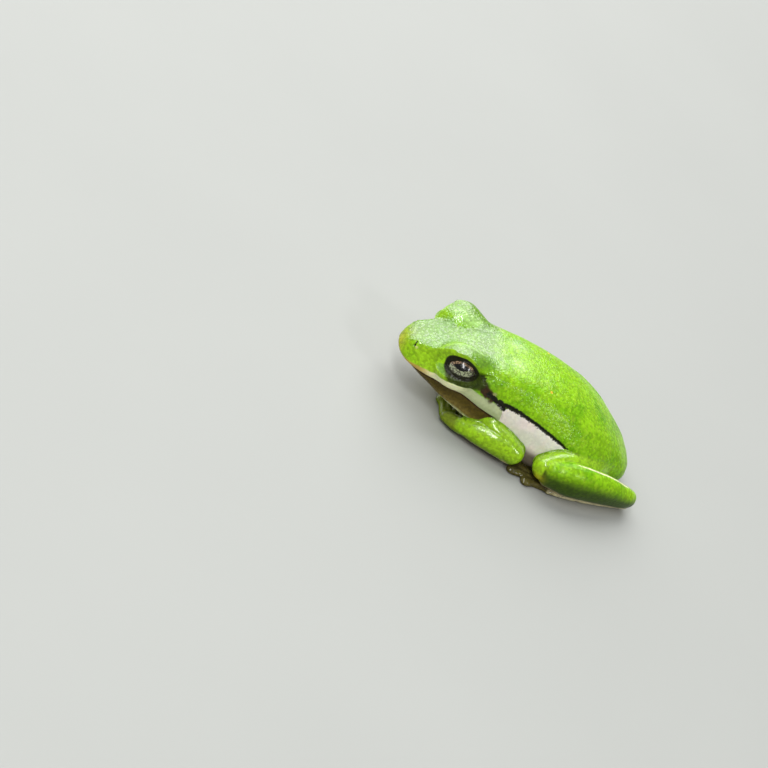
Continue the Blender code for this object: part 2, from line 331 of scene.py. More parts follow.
def tubeRings(path, steps=8, sides=28, ends=6):
    rows, middle, along, across, upward = tubeFrames(path, steps)
    angle = np.linspace(0.0, 2.0 * math.pi, sides, endpoint=False)

    def ring(i, shift, share):
        wide = np.outer(np.cos(angle) * rows[i, 3] * share, across[i])
        high = np.outer(np.sin(angle) * rows[i, 4] * share, upward[i])
        return middle[i] + along[i] * shift + wide + high

    def cap(i, direction):
        radius = min(rows[i, 3], rows[i, 4])
        turns = [math.pi / 2 * (k + 0.5) / (ends + 0.5) for k in range(ends)]
        return [ring(i, direction * radius * math.cos(t), math.sin(t)) for t in turns]

    rings = cap(0, -1.0)
    rings += [ring(i, 0.0, 1.0) for i in range(len(rows))]
    return rings + cap(len(rows) - 1, 1.0)[::-1]


def digitPath(rootX, rootY, heading, length):
    turn = math.radians(heading)
    radius = digitForm["radius"]
    disc = digitForm["discRadius"]
    flat = digitForm["discHeight"]
    stations = (   # share of the length, half width, half height
        (0.0, radius * 1.2, radius),
        (0.35, radius * 0.95, radius),
        (0.62, radius * 0.92, radius * 0.95),
        (0.80, disc * 0.86, flat),
        (0.92, disc, flat),
        (1.0, disc * 0.9, flat),
    )
    path = []
    for share, wide, high in stations:
        x = rootX - math.sin(turn) * length * share
        y = rootY - math.cos(turn) * length * share
        path.append((x, y, digitForm["lift"], wide, high))
    return path


def onSide(path, side, hind=False):
    # a left-hand path for either side, with the right hind leg tucked in
    moved = []
    for x, y, *rest in path:
        share = 0.0
        if hind and side < 0:
            share = min(max((y - tuck["from"]) / tuck["over"], 0.0), 1.0)
        x = (x - tuck["inward"] * share) * side
        moved.append((x, y - tuck["forward"] * share, *rest))
    return moved


def sidePaths(side):
    # every limb and digit of one side, by name
    paths = {name: onSide(path, side, name in hindLimbs) for name, path in limbForm.items()}
    for group in ("fingers", "toes"):
        for number, digit in enumerate(digitForm[group], start=1):
            paths[group + str(number)] = onSide(digitPath(*digit), side)
    return paths


skinMake = {
    "voxel": 0.12,
    "rounds": 5,              # smoothing after the union
    "fineRounds": 4,          # and after each halving
    "eyeReach": (4.0, 3.3),   # finer mesh round each eye, one halving each
    "nostrilReach": (1.1, 0.8),
    "fade": 0.6,
    "lumps": ((0.045, 1.7, 3.0), (0.008, 0.55, 11.0)),   # height, size and random start
    "farAway": 1e3,
    "limbSpan": 12.0,         # no limb reaches further than this from its middle
}


def addRings(cage, rings):
    rings = np.asarray(rings)
    count, sides = rings.shape[:2]
    start = len(cage["points"])
    cage["points"].extend(rings.reshape(-1, 3).tolist())
    for i in range(count - 1):
        near = start + i * sides
        for j in range(sides):
            k = (j + 1) % sides
            cage["faces"].append((near + j, near + k, near + sides + k, near + sides + j))
    for row in (0, count - 1):
        tip = len(cage["points"])
        cage["points"].append(rings[row].mean(axis=0).tolist())
        first = start + row * sides
        for j in range(sides):
            cage["faces"].append((tip, first + j, first + (j + 1) % sides))


def unionMesh(cage, voxel):
    mesh = bpy.data.meshes.new("skinCage")
    mesh.from_pydata(cage["points"], [], cage["faces"])
    holder = linkObject("skinCage", mesh)
    union = holder.modifiers.new("union", "REMESH")
    union.mode = "VOXEL"
    union.voxel_size = voxel
    graph = bpy.context.evaluated_depsgraph_get()
    solid = bpy.data.meshes.new_from_object(holder.evaluated_get(graph))
    bpy.data.objects.remove(holder)
    bpy.data.meshes.remove(mesh)
    return solid


def keepLargest(mesh):
    # the union can leave small closed shells inside, and only the outer skin is wanted
    edges = readEdges(mesh)
    label = np.arange(len(mesh.vertices))
    while True:
        low = np.minimum(label[edges[:, 0]], label[edges[:, 1]])
        fresh = label.copy()
        np.minimum.at(fresh, edges[:, 0], low)
        np.minimum.at(fresh, edges[:, 1], low)
        fresh = fresh[fresh]
        if (fresh == label).all():
            break
        label = fresh
    names, sizes = np.unique(label, return_counts=True)
    loose = np.nonzero(label != names[sizes.argmax()])[0]
    if len(loose):
        shape = bmesh.new()
        shape.from_mesh(mesh)
        shape.verts.ensure_lookup_table()
        bmesh.ops.delete(shape, geom=[shape.verts[i] for i in loose], context="VERTS")
        shape.to_mesh(mesh)
        shape.free()


def refine(mesh, places):
    # halve the edges near each place, given as (centre, reach)
    points = readPoints(mesh)
    edges = readEdges(mesh)
    middle = points[edges].mean(axis=1)
    chosen = np.zeros(len(edges), bool)
    for centre, reach in places:
        chosen |= distanceTo(middle, centre) < reach
    shape = bmesh.new()
    shape.from_mesh(mesh)
    shape.edges.ensure_lookup_table()
    picked = [shape.edges[i] for i in np.nonzero(chosen)[0]]
    bmesh.ops.subdivide_edges(shape, edges=picked, cuts=1, use_grid_fill=True)
    shape.to_mesh(mesh)
    shape.free()


def nearAny(points, places):
    weight = np.zeros(len(points))
    for centre, reach in places:
        inside = softStep(reach, reach - skinMake["fade"], distanceTo(points, centre))
        weight = np.maximum(weight, inside)
    return weight


def skinMesh():
    cage = {"points": [], "faces": []}
    addRings(cage, bodyRings())
    for side in (1.0, -1.0):
        for path in sidePaths(side).values():
            addRings(cage, tubeRings(path))
    mesh = unionMesh(cage, skinMake["voxel"])
    keepLargest(mesh)
    writePoints(mesh, relax(readPoints(mesh), readEdges(mesh), skinMake["rounds"]))
    centres = (eyeCentre, np.array(headForm["nostril"]))
    for reaches in zip(skinMake["eyeReach"], skinMake["nostrilReach"]):
        places = [(centre * flip, reach) for flip in flips
                  for centre, reach in zip(centres, reaches)]
        refine(mesh, places)
        points = readPoints(mesh)
        weight = nearAny(points, places)
        writePoints(mesh, relax(points, readEdges(mesh), skinMake["fineRounds"], weight))
    return mesh


# features worked into the skin, placed on the left side and mirrored
headForm = {
    "nostril": (2.22, -17.55, 7.4),
    # relief in millimetres: depth or height and width, where two numbers are given
    "mouthGroove": (0.24, 0.14),
    "lipPuff": (0.10, 0.10, 0.5),          # height at the front, gain to the rear, width
    "lipGroove": (0.07, 0.14),
    "jawHollow": 0.18,
    "canthusRidge": (0.07, 0.13, 0.45),    # as the puff
    "loreHollow": (0.24, 1.1),
    "nostrilRim": (0.07, 0.16),
    "earHollow": 0.07,
    "nostrilRadius": 0.15,
    "nostrilDepth": 0.32,
    "nostrilSlit": ((2.09, -17.52, 7.60), (2.35, -17.58, 7.20)),
    "nostrilFlap": (2.55, -17.35, 7.22),     # pale skin behind the nostril
    "canthus": ((2.3, -17.2, 7.75), (2.9, -16.0, 8.35), (4.2, -14.7, 9.5)),
    "lore": (4.1, -15.6, 6.9),
    "crest": ((4.3, -9.2, 10.6), 1.5, 0.42),    # fullness behind each eye: place, size, height
    "ear": (6.55, -7.3, 8.1),
    "earRadius": 0.85,
    # y and z along the dark blotch that crosses the ear, and its half width
    "earBlotch": ((-8.3, 8.45), (-7.4, 8.05), (-6.3, 7.75)),
    "blotchWidth": 0.62,
    "cheekWidth": 0.62,
    "pale": ((6.6, -8.6, 8.5), (6.5, -6.25, 8.3)),
    # dark skin from the eye's rear corner down to the ear
    "cheek": ((7.3, -10.3, 9.2), (6.8, -9.1, 9.0), (6.4, -7.9, 8.8)),
    # height of each line against y
    "mouth": ((-18.9, 5.0), (-18.4, 4.8), (-17.2, 4.78), (-15.7, 5.0), (-14.3, 5.3),
              (-13.0, 5.62), (-11.7, 5.9), (-10.4, 6.12), (-8.7, 5.97), (-7.0, 5.66),
              (-5.4, 5.4), (-4.6, 5.35), (-3.8, 5.2)),
    "lipTop": ((-18.9, 5.2), (-18.3, 5.05), (-17.3, 5.25), (-16.0, 5.62), (-14.9, 5.92),
               (-14.4, 6.2), (-14.0, 6.9), (-13.4, 7.45), (-12.8, 7.7), (-12.1, 7.9),
               (-11.3, 7.98), (-10.5, 7.93), (-9.7, 7.8), (-8.9, 7.53), (-8.1, 7.35),
               (-6.6, 7.3), (-5.6, 7.25), (-4.9, 7.25), (-4.35, 7.1), (-4.0, 6.4),
               (-3.8, 5.0)),
    "jawDepth": 2.4,
}
flankForm = {
    "front": -4.2,
    "top": ((-4.3, 6.8), (-4.0, 7.2), (-3.5, 7.5), (-2.3, 7.55), (-0.3, 7.35), (2.1, 7.0),
            (4.7, 6.4), (6.1, 6.0), (9.0, 5.0), (12.0, 3.0), (14.0, 1.0), (16.0, -1.0)),
    # y and z along the black edge, and the same down behind the corner of the mouth
    "black": ((-5.2, 7.7), (-4.4, 7.65), (-3.6, 7.72), (-2.3, 7.68), (-0.3, 7.44), (2.1, 7.08),
              (4.7, 6.5), (6.1, 6.1), (9.0, 5.1), (11.5, 4.1)),
    "blackWidth": (0.34, 0.10),      # half width at its front and at its rear
    "corner": ((-6.9, 7.95), (-6.0, 7.75), (-5.3, 7.52), (-4.7, 7.35), (-4.2, 7.2)),
    "cornerWidth": 0.34,
    "seamGroove": (0.16, 0.24, 0.26),    # depth, width along the black edge and at the corner
    "ridge": (0.07, 0.75, 0.6),          # above the edge: height, how far off, width
    "folds": (0.13, -1.3, 0.8),          # below it
}


def emptyField(count):
    field = np.zeros((3, count))
    field[0] = skinMake["farAway"]
    return field


def limbField(points, path):
    # distance to a limb's surface, height round it from -1 to 1, and share along it
    rows, middle, along, across, upward = tubeFrames(path, 5)
    near = np.abs(points - middle.mean(axis=0)).max(axis=1) < skinMake["limbSpan"]
    chosen = points[near]
    found = emptyField(len(chosen))
    for index in range(len(rows) - 1):
        way = middle[index + 1] - middle[index]
        step = np.clip((chosen - middle[index]) @ way / (way @ way), 0.0, 1.0)
        row = rows[index] + step[:, None] * (rows[index + 1] - rows[index])
        offset = chosen - row[:, :3]
        wide = offset @ across[index] / row[:, 3]
        high = offset @ upward[index] / row[:, 4]
        size = np.minimum(row[:, 3], row[:, 4])
        deep = offset @ along[index] / size
        ratio = np.sqrt(wide ** 2 + high ** 2 + deep ** 2)
        fresh = ((ratio - 1.0) * size, high / np.maximum(ratio, 0.01),
                 (index + step) / (len(rows) - 1))
        found = np.where(fresh[0] < found[0], fresh, found)
    field = emptyField(len(points))
    field[:, near] = found
    return field


def limbFields(points):
    # for every limb, digits gathered under fingers and toes, the fields on both sides
    fields = {}
    for side in (1.0, -1.0):
        mine = points[:, 0] * side > 0.0
        for name, path in sidePaths(side).items():
            kept = fields.setdefault(name.rstrip("12345"), emptyField(len(points)))
            found = limbField(points[mine], path)
            kept[:, mine] = np.where(found[0] < kept[0, mine], found, kept[:, mine])
    return fields


def eyeAxes():
    # outwards, along and across the opening of the left eye
    outward = np.array(lidForm["aim"])
    outward /= np.linalg.norm(outward)
    level = np.cross((0.0, 0.0, 1.0), outward)
    level /= np.linalg.norm(level)
    across = np.cross(outward, level)
    tilt = math.radians(lidForm["tilt"])
    length = level * math.cos(tilt) + across * math.sin(tilt)
    return outward, length, np.cross(outward, length)


lidForm = {
    "aim": (0.84, -0.30, 0.45),
    "tilt": 17.0,
    # the opening and the dark line round it: millimetres sideways and up from the middle to
    # the edge, as front, rear, above and below, and how round each quarter is (2 is an oval)
    "opening": ((1.95, 2.00, 1.12, 0.82), (2.4, 1.6, 2.0, 2.2)),
    "line": ((2.40, 2.30, 1.56, 1.30), (3.6, 1.5, 2.1, 2.3)),
    "shade": ((2.35, 4.4, 1.2, 2.7), (2.6, 2.0, 2.0, 2.4)),     # dark skin under the eye
    "thickness": 0.17,
    "slope": 1.8,            # millimetres for each unit off the line or the shade
    "bead": (0.06, 4.5, 3.5),    # height, degrees from the edge, width
    "blend": (24.0, 9.0, 16.0),   # degrees over which they rise to the head: below, above, front
    "fold": (0.06, 17.0, 3.0),   # crease under the lower lid: depth, place and width alike
    "behind": 0.5,           # how far behind the ball's surface the skin passes
    "reach": (4.6, 4.0),     # where the lids leave off, from the eye's middle
}


def ringOf(sideways, upward, form):
    # 1 on the edge of the form, less inside it and more outside
    (front, rear, above, below), rounds = form
    inFront = sideways < 0.0
    over = upward > 0.0
    wide = np.where(inFront, front, rear)
    high = np.where(over, above, below)
    power = np.where(over, np.where(inFront, rounds[0], rounds[1]),
                     np.where(inFront, rounds[2], rounds[3]))
    return (np.abs(sideways / wide) ** power + np.abs(upward / high) ** power) ** (1.0 / power)


def openingField(points):
    # radius from the eye's middle, degrees outside the lids' edge, millimetres behind and
    # above the middle of the opening, and the direction
    outward, length, across = eyeAxes()
    offset = points - eyeCentre
    reach = np.linalg.norm(offset, axis=1)
    unit = offset / reach[:, None]
    angle = np.degrees(np.arccos(np.clip(unit @ outward, -1.0, 1.0)))
    flat = np.hypot(unit @ length, unit @ across) + 1e-6
    lateral = (eyeRadius + lidForm["thickness"]) * np.sin(np.radians(np.minimum(angle, 90.0)))
    ring = ringOf(lateral * (unit @ length) / flat, lateral * (unit @ across) / flat,
                  lidForm["opening"])
    beyond = angle * (1.0 - 1.0 / np.maximum(ring, 0.01))
    return reach, beyond, offset @ length, offset @ across, unit


def insideLid(points, form):
    # millimetres inside a form round the opening, on the side that the opening faces
    outward, length, across = eyeAxes()
    offset = points - eyeCentre
    inside = (1.0 - ringOf(offset @ length, offset @ across, lidForm[form])) * lidForm["slope"]
    return np.where(offset @ outward > 0.0, inside, -9.0)


def carveEyes(points):
    left = mirrored(points)
    reach, beyond, sideways, upward, unit = openingField(left)
    lid = eyeRadius + lidForm["thickness"]
    near = softStep(*lidForm["reach"], reach)
    below, above, front = lidForm["blend"]
    blend = below + (above - below) * softStep(-0.3, 0.6, upward)
    blend += (front - blend) * softStep(-1.2, -1.9, sideways)
    hug = softStep(blend, 2.0, beyond) * near
    wanted = reach + (np.minimum(reach, lid) - reach) * hug
    height, place, width = lidForm["bead"]
    bead = height * (0.4 + 0.6 * softStep(-0.4, 0.4, upward))
    wanted += bead * bell(beyond - place, width) * near
    depth, place, width = lidForm["fold"]
    wanted -= depth * (bell(beyond - place, width) * softStep(0.1, -0.5, upward) * near)
    inside = softStep(0.0, -3.0, beyond) * near
    wanted += (eyeRadius - lidForm["behind"] - wanted) * inside
    moved = eyeCentre + unit * wanted[:, None]
    moved[:, :1] *= np.where(points[:, :1] < 0.0, -1.0, 1.0)
    return moved


def headRelief(left, onBody):
    # how far each point of the head moves along its normal
    y = left[:, 1]
    z = left[:, 2]
    move = np.zeros(len(left))
    head = softStep(-3.2, -4.4, y) * onBody
    side = softStep(0.0, 1.2, left[:, 0] + softStep(-17.8, -18.7, y) * 2.0)
    mouth = heightAt(y, headForm["mouth"])
    lipTop = heightAt(y, headForm["lipTop"])
    mouthGap = z - mouth
    depth, width = headForm["mouthGroove"]
    move -= depth * bell(mouthGap + 0.05, width) * head * side
    base, gain, width = headForm["lipPuff"]
    puff = base + gain * softStep(-14.0, -10.0, y)
    move += puff * bell(z - (mouth + lipTop) / 2, width) * head * side
    depth, width = headForm["lipGroove"]
    move -= depth * bell(z - lipTop - 0.12, width) * head * side * softStep(-15.5, -13.0, y)
    hollow = softStep(0.0, -0.35, mouthGap)
    move -= headForm["jawHollow"] * hollow * softStep(-2.4, -0.8, mouthGap) * head
    base, gain, width = headForm["canthusRidge"]
    ridge = bell(curveDistance(left, headForm["canthus"])[0], width)
    move += (base + gain * softStep(-17.4, -15.4, y)) * ridge * onBody
    place, size, height = headForm["crest"]
    move += height * spotAt(left, place, size) * onBody
    depth, width = headForm["loreHollow"]
    move -= depth * spotAt(left, headForm["lore"], width) * onBody
    nostril = curveDistance(left, headForm["nostrilSlit"])[0]
    radius = headForm["nostrilRadius"]
    height, width = headForm["nostrilRim"]
    move += height * bell(nostril - radius * 2.0, width) * onBody
    move -= headForm["nostrilDepth"] * softStep(radius * 1.5, radius * 0.5, nostril) * onBody
    ear = np.linalg.norm((left - headForm["ear"]) * (0.6, 1.0, 1.0), axis=1)
    earRadius = headForm["earRadius"]
    move -= headForm["earHollow"] * softStep(earRadius, earRadius * 0.5, ear) * onBody
    return move


def flankRelief(left, onBody):
    y = left[:, 1]
    z = left[:, 2]
    seam = curveDistance(left[:, 1:], flankForm["black"])[0]
    corner = curveDistance(left[:, 1:], flankForm["corner"])[0]
    side = softStep(4.0, 5.5, left[:, 0]) * onBody
    reach = softStep(12.0, 8.0, y) * side
    depth, seamWidth, cornerWidth = flankForm["seamGroove"]
    move = -depth * np.maximum(bell(seam, seamWidth), bell(corner, cornerWidth)) * reach
    gap = z - heightAt(y, flankForm["black"])
    behindHead = softStep(-5.5, -3.9, y) * reach
    height, place, width = flankForm["ridge"]
    move += height * bell(gap - place, width) * behindHead
    folds = 0.5 + 0.5 * np.sin(y * 2.1 + 0.8 * np.sin(y * 1.3))
    height, place, width = flankForm["folds"]
    return move + height * bell(gap - place, width) * behindHead * (0.55 + 0.45 * folds)


def creaseRelief(left):
    depth, width = limbMarks["creaseForm"]
    move = np.zeros(len(left))
    for rows in limbMarks["creases"]:
        distance, share = curveDistance(left, rows)
        ends = softStep(0.0, 0.25, share) * softStep(1.0, 0.75, share)
        move -= depth * bell(distance, width) * ends
    return move


def lumps(points, scale, seed):
    offset = Vector((seed, seed * 0.37, seed * 0.71))
    return np.array([noise.noise(Vector(p) / scale + offset) for p in points])


def sculpt(mesh):
    points = readPoints(mesh)
    edges = readEdges(mesh)
    fields = limbFields(points)
    onLimb = np.min([field[0] for field in fields.values()], axis=0)
    onBody = softStep(0.05, 0.45, onLimb)
    left = mirrored(points)
    normals = readNormals(mesh)
    move = headRelief(left, onBody) + flankRelief(left, onBody) + creaseRelief(left)
    awayFromEye = softStep(2.5, 3.2, distanceTo(left, eyeCentre))
    offFloor = softStep(0.1, 0.8, points[:, 2])
    (broad, broadSize, broadStart), (fine, fineSize, fineStart) = skinMake["lumps"]
    move += broad * lumps(points, broadSize, broadStart) * offFloor
    move += fine * lumps(points, fineSize, fineStart) * awayFromEye * offFloor
    points = points + normals * move[:, None]
    points = carveEyes(points)
    points[:, 2] = np.maximum(points[:, 2], 0.0)
    writePoints(mesh, points)
    return fields, onBody, edges


def markHead(left, bodyOnly):
    y = left[:, 1]
    z = left[:, 2]
    mouth = heightAt(y, headForm["mouth"])
    lipTop = heightAt(y, headForm["lipTop"])
    sideways = left[:, 0] - 0.2 + softStep(-18.0, -18.8, y) * 2.0
    ahead = -3.9 - y
    jawFloor = mouth - headForm["jawDepth"]
    ear = headForm["blotchWidth"] - curveDistance(left[:, 1:], headForm["earBlotch"])[0]
    nearEye = distanceTo(left, eyeCentre) < lidForm["reach"][0]
    return {
        "lip": np.minimum.reduce([z - mouth, lipTop - z, bodyOnly, sideways]),
        "lipShare": softStep(-17.0, -8.0, y),
        "mouthLine": np.abs(z - mouth + 0.06) + 9.0 * ((ahead < 0.0) | (bodyOnly < 0.0)),
        "jaw": np.minimum.reduce([mouth - z, z - jawFloor, ahead, bodyOnly]),
        "jawShare": (mouth - z) / headForm["jawDepth"],
        "throat": np.minimum.reduce([jawFloor - z, ahead, bodyOnly]),
        "ear": np.minimum.reduce([ear, left[:, 0] - 5.0, bodyOnly]),
        "cheek": headForm["cheekWidth"] - curveDistance(left, headForm["cheek"])[0],
        "pale": np.minimum(*(distanceTo(left, place) for place in headForm["pale"])),
        "lidEdge": np.where(nearEye, -insideLid(left, "line"), 9.0),
        "lidHeight": (left - eyeCentre) @ eyeAxes()[2],
        "lidShade": insideLid(left, "shade"),
        "nostril": curveDistance(left, headForm["nostrilSlit"])[0],
        "nostrilFlap": distanceTo(left, headForm["nostrilFlap"]),
    }


def markBody(left, normals, bodyOnly):
    y = left[:, 1]
    z = left[:, 2]
    flankTop = heightAt(y, flankForm["top"])
    seam, share = curveDistance(left[:, 1:], flankForm["black"])
    front, rear = flankForm["blackWidth"]
    seam = front + (rear - front) * share ** 1.5 - seam
    corner = flankForm["cornerWidth"] - curveDistance(left[:, 1:], flankForm["corner"])[0]
    black = [np.maximum(seam, corner), left[:, 0] - 4.0, bodyOnly]
    belly = [3.2 - z + softStep(-6.0, 0.0, y) * 0.6, bodyOnly, 13.0 - y, -normals[:, 2] + 0.55]
    return {
        "flank": np.minimum.reduce([flankTop - z, y - flankForm["front"], bodyOnly]),
        "black": np.minimum.reduce(black),
        "belly": np.minimum.reduce(belly),
        "gold": np.minimum.reduce([distanceTo(left, place) for place in limbMarks["gold"]]),
    }


def markLimbs(points, left, fields):
    limbHeight = np.full(len(points), 1.0)
    # deep: painted shade on the lower side of each limb
    deep = np.zeros(len(points))
    for name, (start, full, most) in limbMarks["deep"].items():
        distance, height, share = fields[name]
        limbHeight = np.where(distance < 0.25, np.minimum(limbHeight, height), limbHeight)
        dark = softStep(start, full, height) * most * softStep(0.25, 0.1, distance)
        deep = np.maximum(deep, dark)
    legLine = []
    for side in (1.0, -1.0):
        path = onSide([(*p, 0.0, 0.0) for p in limbMarks["shankLine"]], side, True)
        distance, share = curveDistance(points, [p[:3] for p in path])
        legLine.append(distance + 0.22 * softStep(0.45, 0.05, share))
    away = {name: field[0] for name, field in fields.items()}
    others = np.minimum.reduce([away[name] for name in limbMarks["deep"]])
    ends = {"hand": np.minimum(away["fingers"], away["palm"] + 0.1),
            "foot": np.minimum(away["sole"], away["tarsus"]), "toes": away["toes"]}
    marks = {name: np.minimum(others - end, 0.35 - end) for name, end in ends.items()}
    nearest = np.minimum.reduce([away[name] for name in limbForm])
    warm = [spotAt(left, place, size) for place, size in limbMarks["warm"]]
    marks.update({"limbHeight": limbHeight, "deep": deep, "legLine": np.minimum(*legLine),
                  "limb": softStep(0.3, 0.05, nearest), "warm": np.maximum.reduce(warm)})
    return marks


def hollowOf(points, normals, edges):
    # how far each point lies below its neighbours
    hollow = ((neighbourMean(points, edges) - points) * normals).sum(axis=1)
    for _ in range(3):
        hollow = neighbourMean(hollow, edges)
    return hollow


def markShine(points, left, normals, fields, onBody):
    # how wet the skin is, and where painted light and shade change the green: painted shade on the
    # head top under the sheen, a painted sheen on the inner slopes of the eye domes, and painted
    # light on the face's sides, the arms, the thighs and the heel
    y = left[:, 1]
    drier = 0.7 * softStep(-7.5, -5.0, y) * (1.0 - 0.9 * spotAt(left, *limbMarks["shoulder"]))
    drier = np.maximum(drier * onBody, 0.8 * softStep(0.4, 0.1, fields["shank"][0]))
    top = softStep(0.35, 0.8, normals[:, 2])
    outward = normals[:, 0] * np.sign(points[:, 0])
    level = softStep(-0.55, -0.25, outward) * softStep(0.6, 0.35, outward)
    # painted sheen: paler green on the upward inner slopes of the eye domes
    inward = softStep(-0.15, -0.45, outward) * softStep(10.2, 11.0, left[:, 2])
    # painted light: lighter green on the sides of the face, the arms, the thighs and the heel
    face = softStep(-9.0, -12.0, y) * softStep(-18.2, -16.2, y) * (1.0 - top) * onBody
    limb = np.minimum.reduce([fields[name][0] for name in ("upperArm", "forearm", "thigh")])
    paintedLitGreen = [face, softStep(0.3, 0.05, limb), spotAt(left, *limbMarks["heel"])]
    return {
        "wet": softStep(0.15, 0.75, normals[:, 2]) * (1.0 - drier),
        # painted shade: darker green on the head's upward faces, under the wet sheen
        "paintedCrownShade": softStep(-5.5, -8.5, y) * top * level,
        "dome": inward * softStep(-9.0, -10.0, y) * top,
        "paintedLitGreen": np.maximum.reduce(paintedLitGreen),
    }


def markSkin(mesh, fields, onBody, edges):
    points = readPoints(mesh)
    left = mirrored(points)
    normals = readNormals(mesh)
    bodyOnly = (onBody - 0.5) * 4.0
    storeValues(mesh, {
        **markHead(left, bodyOnly), **markBody(left, normals, bodyOnly),
        **markLimbs(points, left, fields), **markShine(points, left, normals, fields, onBody),
        "hollow": hollowOf(points, normals, edges), "heightUp": points[:, 2],
    })


limbMarks = {
    "shankLine": ((10.0, 6.4, 5.4), (9.75, 8.5, 6.07), (9.0, 12.0, 5.75), (8.05, 15.0, 4.98),
                  (7.2, 17.3, 4.1)),
    "warm": (((0.0, -18.8, 5.4), 1.9), ((10.9, 4.0, 2.2), 0.9)),    # yellower: snout, knee
    "heel": ((7.0, 19.0, 1.8), 2.6),
    "shoulder": ((2.0, -4.3, 11.1), 1.2),      # stays as wet as the head
    # where round each limb painted shade darkens the green towards the underside, from and to a
    # height of -1 to 1, and how far
    "deep": {"upperArm": (0.1, -0.7, 0.5), "forearm": (0.1, -0.7, 0.5),
             "thigh": (0.3, -0.5, 0.8), "shank": (0.82, 0.03, 0.97)},
    # creases at the elbow, the knee and the wrist, all of one depth and width
    "creaseForm": (0.13, 0.18),
    "creases": (((7.4, -5.4, 3.9), (7.79, -4.71, 4.08), (8.54, -3.62, 4.28), (8.97, -2.58, 4.33),
                 (9.3, -1.4, 4.2)),
                ((10.1, 4.3, 4.95), (10.73, 4.25, 4.3), (11.16, 4.2, 3.7), (11.3, 4.4, 2.85)),
                ((5.9, -7.6, 2.9), (6.8, -7.4, 2.9), (7.6, -7.2, 2.2), (7.8, -7.1, 1.4))),
    "gold": ((4.07, 1.04, 10.75),),
}


def plug(tree, socket, value):
    if isinstance(value, bpy.types.NodeSocket):
        tree.links.new(value, socket)
    else:
        socket.default_value = value


def addNode(tree, kind, values=None, **settings):
    node = tree.nodes.new("ShaderNode" + kind)
    for name, value in settings.items():
        setattr(node, name, value)
    for name, value in (values or {}).items():
        plug(tree, node.inputs[name], value)
    return node


def newGroup(name, inputs, outputs):
    tree = bpy.data.node_groups.new(name, "ShaderNodeTree")
    for socketName, kind, value in inputs:
        socket = tree.interface.new_socket(socketName, in_out="INPUT", socket_type=kind)
        socket.default_value = value
    for socketName, kind in outputs:
        tree.interface.new_socket(socketName, in_out="OUTPUT", socket_type=kind)
    start = tree.nodes.new("NodeGroupInput")
    end = tree.nodes.new("NodeGroupOutput")
    return tree, start.outputs, end.inputs


def useGroup(tree, group, values):
    return addNode(tree, "Group", values, node_tree=group).outputs


def combine(tree, operation, first, second, clamp=False):
    node = addNode(tree, "Math", {0: first, 1: second}, operation=operation, use_clamp=clamp)
    return node.outputs[0]


def rangeOf(tree, value, low, high, toLow=0.0, toHigh=1.0):
    node = addNode(tree, "MapRange", {
        "Value": value, "From Min": low, "From Max": high, "To Min": toLow, "To Max": toHigh,
    }, interpolation_type="SMOOTHSTEP")
    return node.outputs["Result"]


def over(tree, below, colour, mask):
    below, colour = (value if isinstance(value, bpy.types.NodeSocket) else (*value, 1.0)
                     for value in (below, colour))
    return addNode(tree, "Mix", {0: mask, 6: below, 7: colour}, data_type="RGBA").outputs[2]


def attributeOf(tree, name):
    return addNode(tree, "Attribute", attribute_name=name).outputs["Fac"]


def mottleGroup():
    # soft cloudy change from 0 to 1, and a finer one, over the object's own space in millimetres
    tree, given, result = newGroup("mottle", [
        ("Size mm", "NodeSocketFloat", 2.0), ("Contrast", "NodeSocketFloat", 1.0),
    ], [("Cloud", "NodeSocketFloat"), ("Fine", "NodeSocketFloat")])
    place = addNode(tree, "TexCoord").outputs["Object"]
    scale = combine(tree, "DIVIDE", 1.0 / mm, given["Size mm"])
    cloud = addNode(tree, "TexNoise", {"Vector": place, "Scale": scale, "Detail": 3.0})
    spread = combine(tree, "MULTIPLY", combine(tree, "SUBTRACT", cloud.outputs["Fac"], 0.5),
                     given["Contrast"])
    tree.links.new(combine(tree, "ADD", spread, 0.5, True), result["Cloud"])
    fine = combine(tree, "MULTIPLY", scale, 7.0)
    small = addNode(tree, "TexNoise", {"Vector": place, "Scale": fine, "Detail": 2.0})
    tree.links.new(small.outputs["Fac"], result["Fine"])
    return tree


def grainGroup():
    # low rounded granules of wet skin: their height and a random tone for each
    tree, given, result = newGroup("grain", [
        ("Size mm", "NodeSocketFloat", 0.3), ("Roundness", "NodeSocketFloat", 0.5),
    ], [("Height", "NodeSocketFloat"), ("Tone", "NodeSocketFloat")])
    place = addNode(tree, "TexCoord").outputs["Object"]
    scale = combine(tree, "DIVIDE", 1.0 / mm, given["Size mm"])
    bend = addNode(tree, "TexNoise", {"Vector": place, "Scale": scale, "Detail": 1.0})
    cells = addNode(tree, "TexVoronoi", {"Vector": place, "Scale": scale},
                    feature="SMOOTH_F1")
    cells.inputs["Smoothness"].default_value = 0.4
    dome = rangeOf(tree, cells.outputs["Distance"], 0.75, 0.05)
    rough = combine(tree, "MULTIPLY", bend.outputs["Fac"], given["Roundness"])
    tree.links.new(combine(tree, "ADD", dome, rough), result["Height"])
    tone = addNode(tree, "SeparateColor", {"Color": cells.outputs["Color"]})
    tree.links.new(tone.outputs[0], result["Tone"])
    return tree


